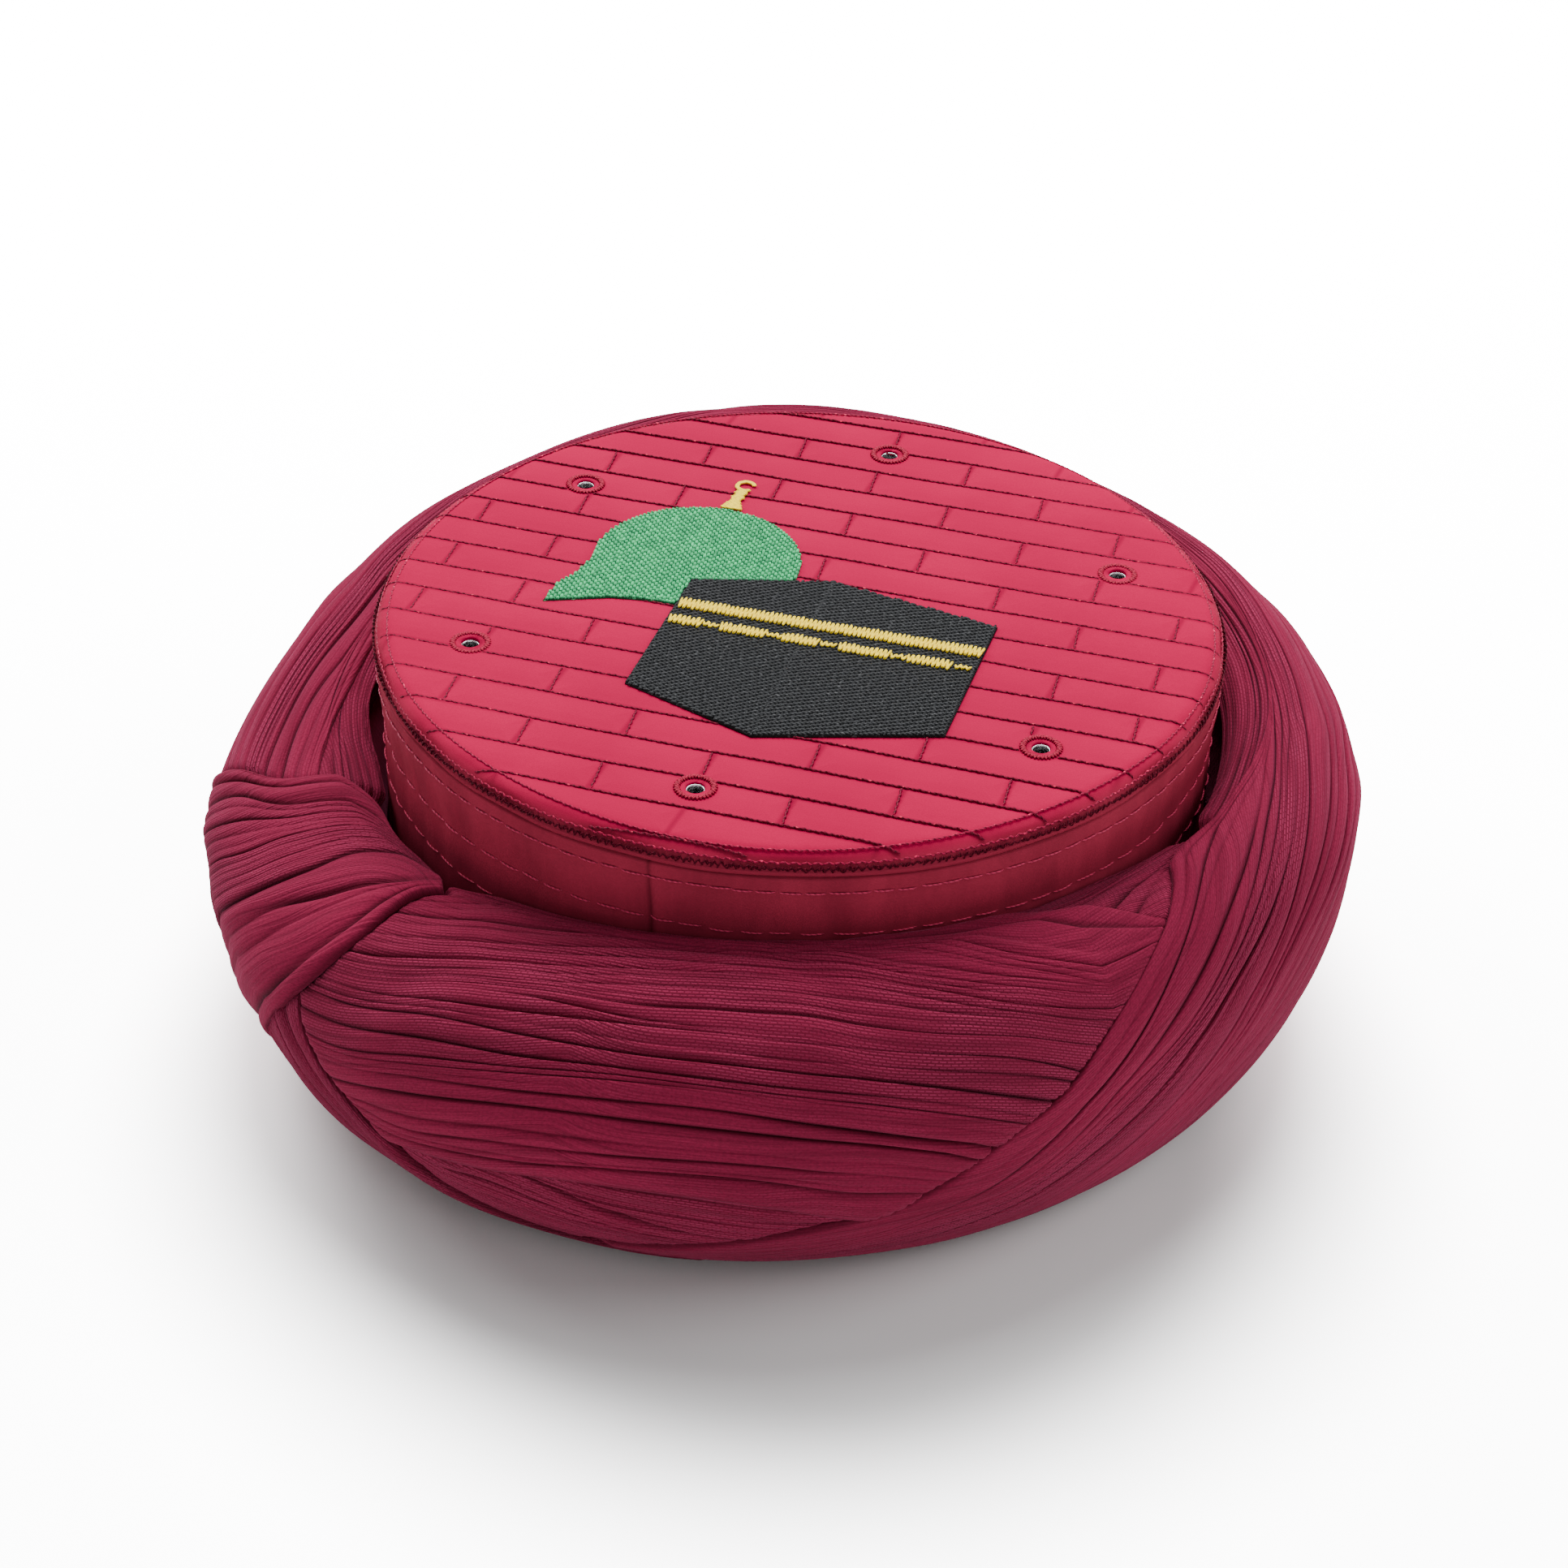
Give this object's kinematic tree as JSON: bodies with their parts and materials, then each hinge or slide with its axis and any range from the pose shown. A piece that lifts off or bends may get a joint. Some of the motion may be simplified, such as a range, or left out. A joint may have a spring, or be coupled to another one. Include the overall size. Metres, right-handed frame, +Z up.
{
  "type": "wound turban",
  "caption": "Ready-wound turban: a stiff round cap with a flat stitched top, ringed by a broad roll of pleated muslin turns with a fold tucked in at one side.",
  "frame": {"origin": "on the surface it rests on, straight under the middle of the cap's flat top, at the centre of the head opening", "axes": "+Z up through the flat top, -Y towards the front, where the pleated front turn lies, +X towards the wearer's left"},
  "size_m": [0.247, 0.2498, 0.0938],
  "materials": {
    "top_cloth": "matt",
    "wall_cloth": "matt",
    "turn_cloth": "matt crepe",
    "under_cloth": "matt crepe",
    "green_thread": "satin stitch",
    "black_thread": "filling stitch",
    "gold_thread": "satin stitch",
    "eyelet_metal": "polished"
  },
  "bodies": {
    "root": {"cap_top": "top_cloth", "cap_wall": "wall_cloth", "under_layers": "under_cloth", "inner_turn": "turn_cloth", "outer_turn": "turn_cloth", "front_turn": "turn_cloth", "lower_turn": "turn_cloth", "middle_turn": "turn_cloth", "corner_tuck": "turn_cloth", "side_fold": "turn_cloth", "cube_embroidery": "black_thread", "dome_embroidery": "green_thread", "finial_embroidery": "gold_thread", "belt_upper_embroidery": "gold_thread", "belt_lower_embroidery": "gold_thread", "eyelet_1": "eyelet_metal", "eyelet_2": "eyelet_metal", "eyelet_3": "eyelet_metal", "eyelet_4": "eyelet_metal", "eyelet_5": "eyelet_metal", "eyelet_6": "eyelet_metal"}
  },
  "joints": []
}
